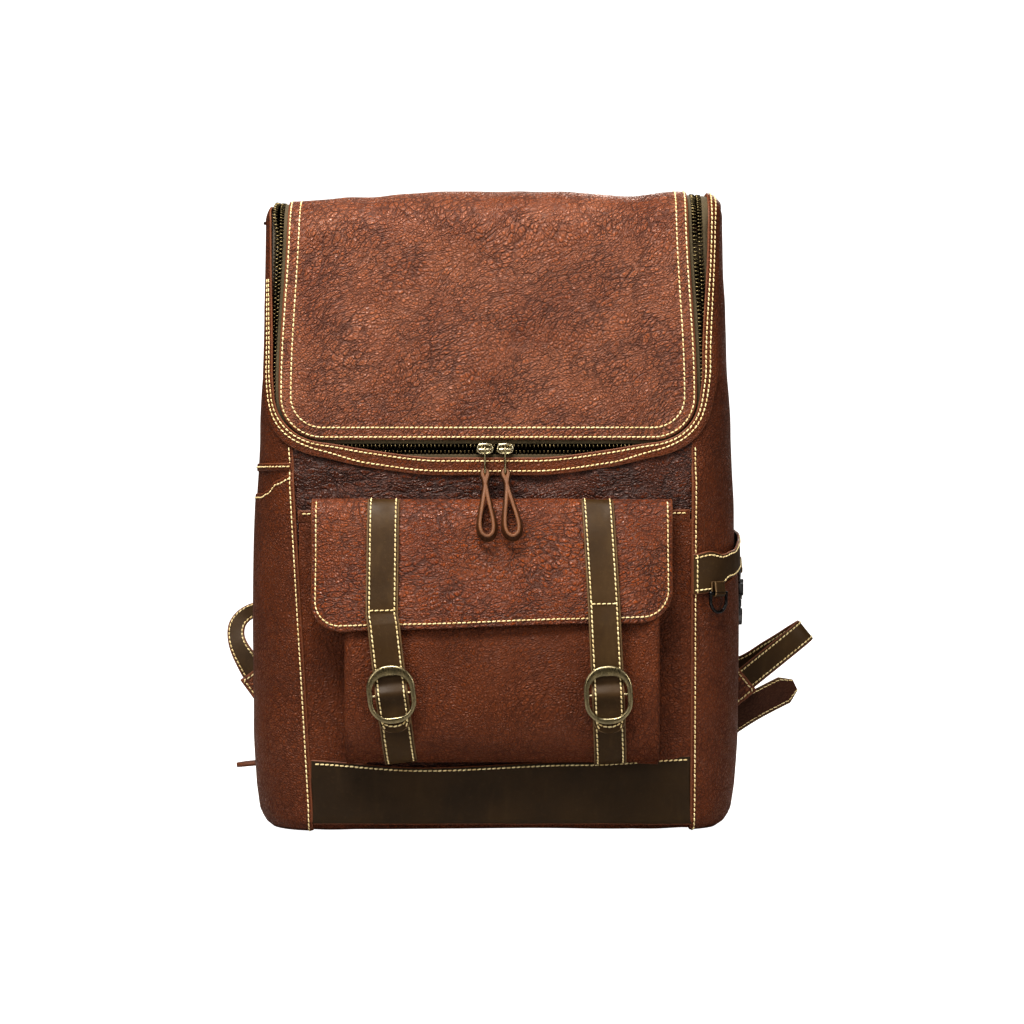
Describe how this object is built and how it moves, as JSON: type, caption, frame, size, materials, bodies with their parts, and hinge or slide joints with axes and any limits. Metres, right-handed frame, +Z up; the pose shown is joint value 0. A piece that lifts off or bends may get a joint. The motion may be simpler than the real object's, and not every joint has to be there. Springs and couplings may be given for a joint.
{
  "type": "leather backpack",
  "caption": "Upright leather backpack with a zipped lid, a flapped front pocket closed by straps with oval buckles, padded shoulder straps and a side hook.",
  "frame": {"origin": "the middle of the body's underside, on the ground", "axes": "+Z up, -Y towards the front with the pocket, +X towards the side with the D ring and hook"},
  "size_m": [0.416, 0.1999, 0.4246],
  "materials": {
    "chestnut_leather": "pebbled, semi-gloss",
    "dark_leather": "smooth waxed",
    "zip_tape": "woven",
    "lining_cloth": "woven twill",
    "board": "matte",
    "antique_brass": "aged brass",
    "black_metal": "gloss black nickel"
  },
  "bodies": {
    "bag": {"front_panel": "chestnut_leather", "side_panel_left": "chestnut_leather", "side_panel_right": "chestnut_leather", "back_panel": "chestnut_leather", "rear_yoke": "chestnut_leather", "base_panel": "chestnut_leather", "base_board": "board", "lining": "lining_cloth", "laptop_divider": "lining_cloth", "base_band": "dark_leather", "pocket_front": "chestnut_leather", "pocket_gussets": "chestnut_leather", "pocket_tabs": "dark_leather", "snap_sockets": "antique_brass", "zip_tape_body": "zip_tape", "zip_teeth_body": "antique_brass", "zip_facing": "chestnut_leather", "side_pocket_left": "chestnut_leather", "side_pocket_right": "chestnut_leather", "side_band_left": "chestnut_leather", "side_band_right": "dark_leather", "d_ring_tab": "dark_leather", "hook_tab": "dark_leather", "strap_wings": "chestnut_leather", "strap_tabs": "chestnut_leather", "back_pads": "chestnut_leather", "strap_patch": "chestnut_leather", "rivets": "antique_brass", "handle_tabs": "chestnut_leather"},
    "lid": {"lid_panel": "chestnut_leather", "lid_lining": "lining_cloth", "zip_tape_lid": "zip_tape", "zip_teeth_lid": "antique_brass"},
    "slider_left": {"slider_left": "antique_brass"},
    "slider_right": {"slider_right": "antique_brass"},
    "pull_left": {"pull_wire_left": "antique_brass"},
    "pull_right": {"pull_wire_right": "antique_brass"},
    "loop_left": {"pull_loop_left": "chestnut_leather"},
    "loop_right": {"pull_loop_right": "chestnut_leather"},
    "flap": {"pocket_flap": "chestnut_leather", "flap_straps": "dark_leather"},
    "tail_left": {"strap_tail_left": "dark_leather", "buckle_left": "antique_brass", "snap_stud_left": "antique_brass"},
    "tail_right": {"strap_tail_right": "dark_leather", "buckle_right": "antique_brass", "snap_stud_right": "antique_brass"},
    "shoulder_left": {"shoulder_strap_left": "chestnut_leather", "adjuster_left": "antique_brass", "lower_strap_left": "dark_leather"},
    "shoulder_right": {"shoulder_strap_right": "chestnut_leather", "adjuster_right": "antique_brass", "lower_strap_right": "dark_leather"},
    "handle": {"carry_handle": "chestnut_leather"},
    "d_ring": {"d_ring": "black_metal"},
    "hook_eye": {"hook_eye": "black_metal"},
    "hook_body": {"hook_body": "black_metal"},
    "hook_gate": {"hook_gate": "black_metal"}
  },
  "joints": [
    {"name": "lid_hinge", "type": "hinge", "parent": "bag", "child": "lid", "pos_m": [0, 0.048, 0.4127], "axis": [-1, 0, 0], "range_deg": [0, 110]},
    {"name": "zip_slide_left", "type": "slide", "parent": "lid", "child": "slider_left", "axis": [-1, 0, 0], "range_m": [0, 0.094]},
    {"name": "zip_slide_right", "type": "slide", "parent": "lid", "child": "slider_right", "axis": [1, 0, 0], "range_m": [0, 0.094]},
    {"name": "wire_swing_left", "type": "hinge", "parent": "slider_left", "child": "pull_left", "pos_m": [-0.0066, -0.0666, 0.2504], "axis": [-1, 0, 0], "range_deg": [0, 60]},
    {"name": "wire_swing_right", "type": "hinge", "parent": "slider_right", "child": "pull_right", "pos_m": [0.0066, -0.0666, 0.2504], "axis": [-1, 0, 0], "range_deg": [0, 60]},
    {"name": "loop_swing_left", "type": "hinge", "parent": "pull_left", "child": "loop_left", "pos_m": [-0.0066, -0.06795, 0.237], "axis": [-1, 0, 0], "range_deg": [0, 90]},
    {"name": "loop_swing_right", "type": "hinge", "parent": "pull_right", "child": "loop_right", "pos_m": [0.0066, -0.06795, 0.237], "axis": [-1, 0, 0], "range_deg": [0, 90]},
    {"name": "flap_hinge", "type": "hinge", "parent": "bag", "child": "flap", "pos_m": [0, -0.0652, 0.2175], "axis": [-1, 0, 0], "range_deg": [0, 90]},
    {"name": "tail_swing_left", "type": "hinge", "parent": "flap", "child": "tail_left", "pos_m": [-0.0725, -0.0902, 0.1473], "axis": [-1, 0, 0], "range_deg": [0, 80]},
    {"name": "tail_swing_right", "type": "hinge", "parent": "flap", "child": "tail_right", "pos_m": [0.0696, -0.0902, 0.1473], "axis": [-1, 0, 0], "range_deg": [0, 80]},
    {"name": "shoulder_swing_left", "type": "hinge", "parent": "bag", "child": "shoulder_left", "pos_m": [-0.064, 0.069, 0.353], "axis": [1, 0, 0], "range_deg": [0, 20]},
    {"name": "shoulder_swing_right", "type": "hinge", "parent": "bag", "child": "shoulder_right", "pos_m": [0.064, 0.069, 0.353], "axis": [1, 0, 0], "range_deg": [0, 20]},
    {"name": "handle_swing", "type": "hinge", "parent": "bag", "child": "handle", "pos_m": [0, 0.0697, 0.392], "axis": [1, 0, 0], "range_deg": [0, 80]},
    {"name": "d_ring_swing", "type": "hinge", "parent": "bag", "child": "d_ring", "pos_m": [0.1466, -0.0586, 0.1565], "axis": [-0.7193, -0.6947, 0], "range_deg": [0, 100]},
    {"name": "hook_swing", "type": "hinge", "parent": "bag", "child": "hook_eye", "pos_m": [0.1654, 0.006, 0.17], "axis": [0, -1, 0], "range_deg": [0, 90]},
    {"name": "hook_swivel", "type": "hinge", "parent": "hook_eye", "child": "hook_body", "pos_m": [0.1654, 0.006, 0.17], "axis": [0, 0, 1], "range_deg": [-8, 8]},
    {"name": "gate_swing", "type": "hinge", "parent": "hook_body", "child": "hook_gate", "pos_m": [0.1654, 0.0011, 0.1456], "axis": [-1, 0, 0], "range_deg": [0, 25]}
  ],
  "couplings": [
    {"joint": "loop_swing_left", "follows": "flap_hinge", "ratio": 1},
    {"joint": "loop_swing_right", "follows": "flap_hinge", "ratio": 1}
  ]
}
